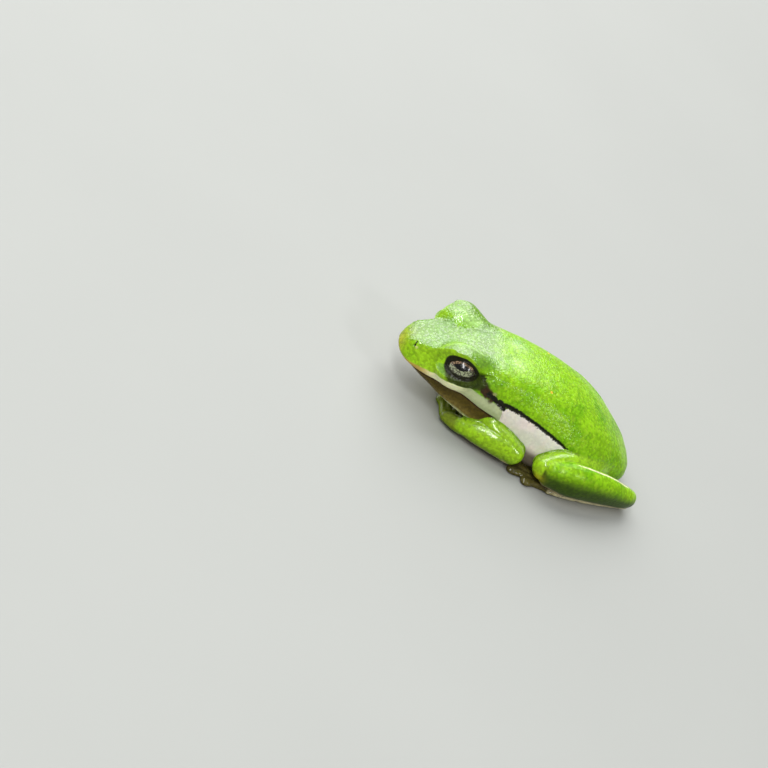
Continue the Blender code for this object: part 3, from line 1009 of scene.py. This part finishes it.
def edgeGroup():
    # a mask from a signed distance in millimetres, with an uneven natural edge
    tree, given, result = newGroup("unevenEdge", [
        ("Distance", "NodeSocketFloat", 0.0), ("Softness mm", "NodeSocketFloat", 0.1),
        ("Wander mm", "NodeSocketFloat", 0.2), ("Wander size mm", "NodeSocketFloat", 1.0),
    ], [("Mask", "NodeSocketFloat")])
    place = addNode(tree, "TexCoord").outputs["Object"]
    scale = combine(tree, "DIVIDE", 1.0 / mm, given["Wander size mm"])
    wave = addNode(tree, "TexNoise", {"Vector": place, "Scale": scale, "Detail": 3.0})
    offset = combine(tree, "MULTIPLY", combine(tree, "SUBTRACT", wave.outputs["Fac"], 0.5),
                     given["Wander mm"])
    moved = combine(tree, "ADD", given["Distance"], offset)
    low = combine(tree, "MULTIPLY", given["Softness mm"], -1.0)
    tree.links.new(rangeOf(tree, moved, low, given["Softness mm"]), result["Mask"])
    return tree


mottle = mottleGroup()
grain = grainGroup()
unevenEdge = edgeGroup()

skinLook = {
    "green": (0.26, 0.54, 0.008),
    "deepGreen": (0.165, 0.42, 0.003),
    "paleGreen": (0.35, 0.58, 0.025),
    "warm": (0.44, 0.42, 0.006),
    # painted shade on the lower sides of the limbs
    "limbDeep": (0.034, 0.070, 0.001),
    # painted shade on the head top, under the wet sheen
    "paintedCrownShade": (0.12, 0.27, 0.02),
    # painted sheen on the inner slopes of the eye domes
    "dome": (0.50, 0.78, 0.30),
    # painted light on the face's sides, the arms, the thighs and the heel
    "paintedLitGreen": (0.36, 0.62, 0.014),
    "belly": (0.72, 0.66, 0.42),
    # the jaw's own olive-brown, darkened further as painted shade under the head
    "jaw": (0.080, 0.056, 0.004),
    "jawLow": (0.20, 0.15, 0.03),
    "mouthLine": (0.07, 0.028, 0.004),
    "lipFront": (0.52, 0.36, 0.07),
    "lipMiddle": (0.92, 0.92, 0.56),
    "lipRear": (0.46, 0.52, 0.28),
    "flank": (0.80, 0.78, 0.67),
    "flankPink": (0.85, 0.75, 0.68),
    # painted shade on the lower flank, between elbow and knee
    "paintedFlankShade": (0.20, 0.16, 0.12),
    "black": (0.012, 0.012, 0.005),
    "ear": (0.050, 0.026, 0.010),
    "cheek": (0.030, 0.065, 0.004),
    "pale": (0.40, 0.42, 0.16),
    "under": (0.55, 0.42, 0.24),
    "hand": (0.19, 0.27, 0.010),
    "foot": (0.66, 0.60, 0.36),
    # painted shade: the toes darkened as if in shadow under the shank
    "toes": (0.10, 0.085, 0.02),
    "legLine": (0.84, 0.80, 0.50),
    "lidEdge": (0.013, 0.013, 0.004),
    "lowerLid": (0.040, 0.060, 0.006),
    "nostril": (0.02, 0.014, 0.006),
    "nostrilFlap": (0.78, 0.74, 0.36),
    "gold": (0.85, 0.60, 0.04),
    # how strongly a colour covers what lies under it, where that isn't fully
    "strength": {"paleGreen": 0.55, "paintedCrownShade": 0.7, "dome": 0.6, "paintedLitGreen": 0.7, "warm": 0.85,
                 "cheek": 0.92, "pale": 0.7, "nostrilFlap": 0.8},
    # the edge of each mark: softness, how far it wanders and over what length, in millimetres
    "edges": {"cheek": (0.30, 0.6, 1.0), "belly": (0.35, 0.5, 1.5), "jaw": (0.22, 0.35, 0.8),
              "throat": (0.30, 0.5, 1.2), "flank": (0.10, 0.16, 0.9), "lip": (0.10, 0.10, 0.8),
              "ear": (0.22, 0.9, 0.8), "black": (0.07, 0.50, 0.32), "hand": (0.25, 0.2, 1.0),
              "foot": (0.2, 0.2, 1.0), "toes": (0.2, 0.2, 1.0), "legLine": (0.10, 0.10, 0.6)},
    # from where a small mark shows, and where it is full
    "fades": {"under": (-0.60, -0.90), "mouthLine": (0.22, 0.10), "pale": (0.42, 0.15),
              "lidEdge": (0.10, -0.06), "nostrilFlap": (0.34, 0.16), "nostril": (0.24, 0.14),
              "gold": (0.26, 0.16)},
    "legLineWidth": 0.19,     # to each side, in millimetres
    "broadClouds": (3.5, 2.2),     # size in millimetres and contrast
    "closeClouds": (0.8, 2.6),
    "granuleSize": 0.32,      # millimetres
    "granuleHeight": 0.028,
    "granuleTone": 0.20,      # lighter and darker by this share
    # painted shade: creases and hollows darken the colour
    "creaseShadeTone": 0.55,       # what stays of the colour in the deepest creases
    "roughness": (0.30, 0.42),
    "specular": 0.15,
    "subsurface": 0.10,
    "subsurfaceRadius": (1.0, 0.8, 0.2),
    "subsurfaceDepth": 0.4,   # millimetres
    "wetness": (0.02, 1.0),   # the coat of the driest and the wettest skin
    "dullWetness": 0.08,      # what stays of it round the lids
    "wetIOR": 2.05,
    "wetRoughness": 0.18,
}


def newMaterial(name):
    material = bpy.data.materials.new(name)
    material.use_nodes = True
    tree = material.node_tree
    return material, tree, tree.nodes["Principled BSDF"]


def skinMaterial():
    look = skinLook
    material, tree, shader = newMaterial("frogSkin")

    def value(name):
        return attributeOf(tree, name)

    def times(first, second):
        return combine(tree, "MULTIPLY", first, second)

    def edge(name, distance=None):
        softness, wander, size = look["edges"][name]
        return useGroup(tree, unevenEdge, {
            "Distance": value(name) if distance is None else distance,
            "Softness mm": softness, "Wander mm": wander, "Wander size mm": size,
        })[0]

    def near(name, outer, inner):
        return rangeOf(tree, value(name), outer, inner)

    def fade(name):
        return near(name, *look["fades"][name])

    broad, close = (useGroup(tree, mottle, {"Size mm": size, "Contrast": contrast})
                    for size, contrast in (look["broadClouds"], look["closeClouds"]))
    granules = useGroup(tree, grain, {"Size mm": look["granuleSize"], "Roundness": 0.5})

    # jaw colour: own olive-brown plus painted shade under the head
    jawColour = over(tree, look["jaw"], look["jawLow"], near("jawShare", 0.35, 0.95))
    pinkish = over(tree, look["flank"], look["flankPink"], rangeOf(tree, broad["Cloud"], 0.3, 0.7))
    # painted shade low on the flank, darker towards the floor
    pinkish = over(tree, pinkish, look["paintedFlankShade"], near("heightUp", 4.3, 2.9))
    lipColour = over(tree, look["lipFront"], look["lipMiddle"], near("lipShare", 0.0, 0.3))
    lipColour = over(tree, lipColour, look["lipRear"], near("lipShare", 0.7, 1.0))
    mixed = {"jaw": jawColour, "throat": look["belly"], "flank": pinkish, "lip": lipColour}

    flankMask = edge("flank")
    lipMask = edge("lip")
    legLine = combine(tree, "SUBTRACT", look["legLineWidth"], value("legLine"))
    lowerLid = times(near("lidShade", -0.1, 0.35), near("lidHeight", 0.5, -0.1))
    lowerLid = times(lowerLid, rangeOf(tree, lipMask, 0.8, 0.2))
    masks = {     # each lies over the ones before it
        "green": rangeOf(tree, broad["Cloud"], 0.1, 0.6),
        "paleGreen": rangeOf(tree, close["Cloud"], 0.45, 1.0),
        # painted light and shade: shade on the head top, a sheen on the eye domes, light on the
        # face's sides, arms, thighs and heel
        "paintedCrownShade": value("paintedCrownShade"), "dome": value("dome"), "paintedLitGreen": value("paintedLitGreen"),
        # painted shade on the limbs' lower sides
        "limbDeep": value("deep"), "warm": value("warm"), "cheek": edge("cheek"),
        "under": near("limbHeight", *look["fades"]["under"]), "belly": edge("belly"),
        "jaw": edge("jaw"), "throat": edge("throat"), "mouthLine": fade("mouthLine"),
        "flank": flankMask, "lip": lipMask, "ear": edge("ear"), "pale": fade("pale"),
        "black": edge("black"), "hand": edge("hand"), "foot": edge("foot"),
        # the toes' colour carries painted shade
        "toes": edge("toes"), "legLine": edge("legLine", legLine), "lowerLid": lowerLid,
        "lidEdge": fade("lidEdge"), "nostrilFlap": fade("nostrilFlap"),
        "nostril": fade("nostril"), "gold": fade("gold"),
    }
    colour = look["deepGreen"]
    for name, mask in masks.items():
        if name in look["strength"]:
            mask = times(mask, look["strength"][name])
        colour = over(tree, colour, mixed.get(name, look.get(name)), mask)

    calm = combine(tree, "MAXIMUM", lipMask, flankMask)
    loud = rangeOf(tree, calm, 0.0, 1.0, 1.0, 0.25)
    most = look["granuleTone"]
    tone = rangeOf(tree, granules["Tone"], 0.0, 1.0, -most, most)
    tone = combine(tree, "ADD", times(tone, loud), 1.0)
    # painted shade in creases and hollows
    creaseShade = rangeOf(tree, value("hollow"), 0.0, 0.010, 1.0, look["creaseShadeTone"])
    shade = times(tone, creaseShade)
    grey = addNode(tree, "CombineColor", {0: shade, 1: shade, 2: shade}).outputs[0]
    toned = addNode(tree, "Mix", {0: 1.0, 6: colour, 7: grey}, data_type="RGBA",
                    blend_type="MULTIPLY")
    tree.links.new(toned.outputs[2], shader.inputs["Base Color"])
    low, high = look["roughness"]
    tree.links.new(rangeOf(tree, close["Fine"], 0.3, 0.7, low, high), shader.inputs["Roughness"])
    shader.inputs["Subsurface Weight"].default_value = look["subsurface"]
    shader.inputs["Subsurface Radius"].default_value = look["subsurfaceRadius"]
    shader.inputs["Subsurface Scale"].default_value = look["subsurfaceDepth"] * mm

    wet = rangeOf(tree, value("wet"), 0.0, 1.0, *look["wetness"])
    socket = times(near("lidEdge", 1.0, 0.5), near("lidHeight", 1.3, 0.8))
    dull = combine(tree, "MAXIMUM", combine(tree, "MAXIMUM", lowerLid, socket),
                   near("lidEdge", 0.35, 0.15))
    wet = times(wet, rangeOf(tree, dull, 0.0, 1.0, 1.0, look["dullWetness"]))
    gaps = rangeOf(tree, granules["Height"], 0.45, 0.95, 0.45, 1.0)
    tree.links.new(times(wet, gaps), shader.inputs["Coat Weight"])
    shader.inputs["Coat IOR"].default_value = look["wetIOR"]
    shader.inputs["Coat Roughness"].default_value = look["wetRoughness"]
    shader.inputs["Specular IOR Level"].default_value = look["specular"]
    height = times(times(granules["Height"], loud),
                   rangeOf(tree, value("limb"), 0.0, 1.0, 1.0, 0.4))
    bump = addNode(tree, "Bump", {"Height": height, "Distance": look["granuleHeight"] * mm,
                                  "Strength": 1.0}).outputs["Normal"]
    tree.links.new(bump, shader.inputs["Normal"])
    tree.links.new(bump, shader.inputs["Coat Normal"])
    return material


def buildSkin():
    mesh = skinMesh()
    print("skin:", len(mesh.polygons), "faces")
    fields, onBody, edges = sculpt(mesh)
    markSkin(mesh, fields, onBody, edges)
    writePoints(mesh, (readPoints(mesh) + drawingShift) * mm)
    mesh.materials.clear()
    mesh.materials.append(skinMaterial())
    mesh.shade_smooth()
    skin = linkObject("frogSkin", mesh)
    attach(skin, "root")
    flesh = [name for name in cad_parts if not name.startswith("eye_")]
    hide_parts(*sorted(flesh))
    return skin


eyeLook = {
    "segments": 96,
    "rings": 64,
    "pupilAt": (-0.12, 0.32),  # millimetres back and up from the middle of the opening
    "pupil": (1.12, 0.46),     # half length and half height
    "pupilRound": 1.35,        # 2 gives an oval, 1 a diamond
    "irisAt": (-0.20, -0.30),  # middle of the coloured part, from the pupil
    "iris": 1.85,              # and its radius
    "irisEdge": 0.88,          # where its dark rim begins, as a share of the radius
    "upper": (0.44, 0.28, 0.16),
    "lower": (0.36, 0.40, 0.23),
    "dark": (0.030, 0.022, 0.012),
    "pupilColour": (0.003, 0.003, 0.003),
    "roughness": 0.25,
    "wetRoughness": 0.03,
    "veinHeight": 0.01,        # millimetres
}


def eyeMaterial():
    look = eyeLook
    material, tree, shader = newMaterial("frogEye")

    def square(number):
        return combine(tree, "MULTIPLY", number, number)

    along = attributeOf(tree, "eyeAlong")
    up = attributeOf(tree, "eyeUp")
    veins = useGroup(tree, grain, {"Size mm": 0.22, "Roundness": 1.2})
    cloud = useGroup(tree, mottle, {"Size mm": 0.5, "Contrast": 3.0})
    colour = over(tree, look["lower"], look["upper"], rangeOf(tree, up, -0.25, 0.15))
    colour = over(tree, colour, look["dark"], rangeOf(tree, veins["Height"], 1.05, 0.75, 0.0, 0.8))
    colour = over(tree, colour, look["dark"], rangeOf(tree, cloud["Cloud"], 0.6, 0.95, 0.0, 0.6))
    wide, high = (combine(tree, "SUBTRACT", number, middle)
                  for number, middle in zip((along, up), look["irisAt"]))
    radius = combine(tree, "SQRT", combine(tree, "ADD", square(wide), square(high)), 0.0)
    rim = rangeOf(tree, radius, look["iris"] * look["irisEdge"], look["iris"])
    colour = over(tree, colour, look["dark"], rim)
    parts = []
    for number, half in zip((along, up), look["pupil"]):
        share = combine(tree, "MULTIPLY", combine(tree, "ABSOLUTE", number, 0.0), 1.0 / half)
        parts.append(combine(tree, "POWER", share, look["pupilRound"]))
    inside = combine(tree, "ADD", *parts)
    colour = over(tree, colour, look["pupilColour"], rangeOf(tree, inside, 1.15, 0.9))
    tree.links.new(colour, shader.inputs["Base Color"])
    shader.inputs["Roughness"].default_value = look["roughness"]
    shader.inputs["Coat Weight"].default_value = 1.0
    shader.inputs["Coat Roughness"].default_value = look["wetRoughness"]
    bump = addNode(tree, "Bump", {"Height": veins["Height"], "Distance": look["veinHeight"] * mm})
    tree.links.new(bump.outputs["Normal"], shader.inputs["Normal"])
    return material


def buildEye(side, tag, material):
    outward, length, across = eyeAxes()
    mesh = bpy.data.meshes.new("eyeball_" + tag)
    shape = bmesh.new()
    bmesh.ops.create_uvsphere(shape, u_segments=eyeLook["segments"], v_segments=eyeLook["rings"],
                              radius=1.0)
    shape.to_mesh(mesh)
    shape.free()
    unit = readPoints(mesh)
    ball = np.outer(unit[:, 2], outward) + np.outer(unit[:, 0], length)
    ball += np.outer(unit[:, 1], across)
    back, up = eyeLook["pupilAt"]
    storeValues(mesh, {
        "eyeAlong": unit[:, 0] * eyeRadius - back,
        "eyeUp": np.where(unit[:, 2] > 0.0, unit[:, 1] * eyeRadius - up, 9.0),
    })
    points = (eyeCentre + ball * eyeRadius) * (side, 1.0, 1.0)
    writePoints(mesh, (points + drawingShift) * mm)
    if side < 0:
        mesh.flip_normals()
    mesh.shade_smooth()
    mesh.materials.append(material)
    eye = linkObject("eyeball_" + tag, mesh)
    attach(eye, "root")
    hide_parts("eye_" + tag)
    return eye


studio = {
    "floorSize": 6.0,
    "floorColour": (0.44, 0.45, 0.43),
    "worldColour": (0.96, 1.0, 0.94),
    "worldStrength": 0.14,
    # direction from the frog, distance, length and width in metres, how the length lies,
    # power in watts
    "lights": (
        ("skyLight", (-0.63, -0.23, 0.72), 0.60, (1.02, 0.82), (0.26, -0.97, 0), 7.6),
        ("keyLight", (0.47, -0.33, 0.82), 0.60, (0.42, 0.10), (-0.82, -0.27, 0.36), 1.7),
        ("rearLight", (0.57, 0.49, 0.67), 0.60, (0.10, 0.10), (0, 1, 0), 0.45),
        ("fillLight", (0.85, -0.50, 0.45), 0.70, (0.60, 0.60), (0, 1, 0), 0.5),
    ),
    "unmirrored": ("fillLight",),      # lights the skin but doesn't show in its wet shine
}

view = {
    "pivot": (0.0, 0.0, 5.0),      # millimetres, in the drawing's frame
    "azimuth": 64.0,
    "elevation": 32.0,
    "roll": 39.5,
    "distance": 258.0,
    "aside": 4.05,             # degrees that the camera looks past the frog
    "above": 0.42,
    "lens": 90.0,
}


def floorMaterial():
    material, tree, shader = newMaterial("studioFloor")
    cloud = useGroup(tree, mottle, {"Size mm": 40.0, "Contrast": 1.0})
    pale = studio["floorColour"]
    darker = tuple(0.94 * c for c in pale)
    tree.links.new(over(tree, darker, pale, cloud["Cloud"]), shader.inputs["Base Color"])
    shader.inputs["Roughness"].default_value = 0.7
    return material


def lampTurn(direction, lie):
    # a lamp facing back along the direction, its length along the lie
    back = Vector(direction).normalized()
    along = Vector(lie)
    along = (along - back * along.dot(back)).normalized()
    return Matrix((along, back.cross(along), back)).transposed().to_quaternion()


def buildStudio():
    half = studio["floorSize"] / 2
    mesh = bpy.data.meshes.new("floor")
    mesh.from_pydata([(-half, -half, 0), (half, -half, 0), (half, half, 0), (-half, half, 0)],
                     [], [(0, 1, 2, 3)])
    mesh.materials.append(floorMaterial())
    linkObject("floor", mesh)
    world = bpy.data.worlds.new("studioWorld")
    world.use_nodes = True
    background = world.node_tree.nodes["Background"]
    background.inputs["Color"].default_value = (*studio["worldColour"], 1.0)
    background.inputs["Strength"].default_value = studio["worldStrength"]
    bpy.context.scene.world = world
    for name, direction, distance, size, lie, power in studio["lights"]:
        lamp = bpy.data.lights.new(name, "AREA")
        lamp.shape = "RECTANGLE"
        lamp.size, lamp.size_y = size
        lamp.energy = power
        holder = linkObject(name, lamp)
        holder.location = Vector(direction).normalized() * distance
        holder.rotation_mode = "QUATERNION"
        holder.rotation_quaternion = lampTurn(direction, lie)
        holder.visible_glossy = name not in studio["unmirrored"]


def buildCamera():
    azimuth = math.radians(view["azimuth"])
    elevation = math.radians(view["elevation"])
    back = Vector((math.sin(azimuth) * math.cos(elevation),
                   -math.cos(azimuth) * math.cos(elevation), math.sin(elevation)))
    pivot = (Vector(view["pivot"]) + Vector(drawingShift)) * mm
    lens = bpy.data.cameras.new("camera")
    lens.lens = view["lens"]
    lens.sensor_width = 36.0
    lens.clip_start = 0.01
    lens.clip_end = 20.0
    camera = linkObject("camera", lens)
    camera.location = pivot + back * view["distance"] * mm
    camera.rotation_mode = "QUATERNION"
    aimed = (-back).to_track_quat("-Z", "Y") @ Quaternion((0, 0, 1), math.radians(view["roll"]))
    aside = Quaternion((0, 1, 0), math.radians(view["aside"]))
    above = Quaternion((1, 0, 0), math.radians(view["above"]))
    camera.rotation_quaternion = aimed @ aside @ above
    bpy.context.scene.camera = camera
    bpy.context.scene.view_settings.view_transform = "Standard"


buildStudio()
buildCamera()
print("studio and camera set")
buildSkin()
eyeFinish = eyeMaterial()
for side, tag in ((1.0, "left"), (-1.0, "right")):
    buildEye(side, tag, eyeFinish)
print("eyes set")
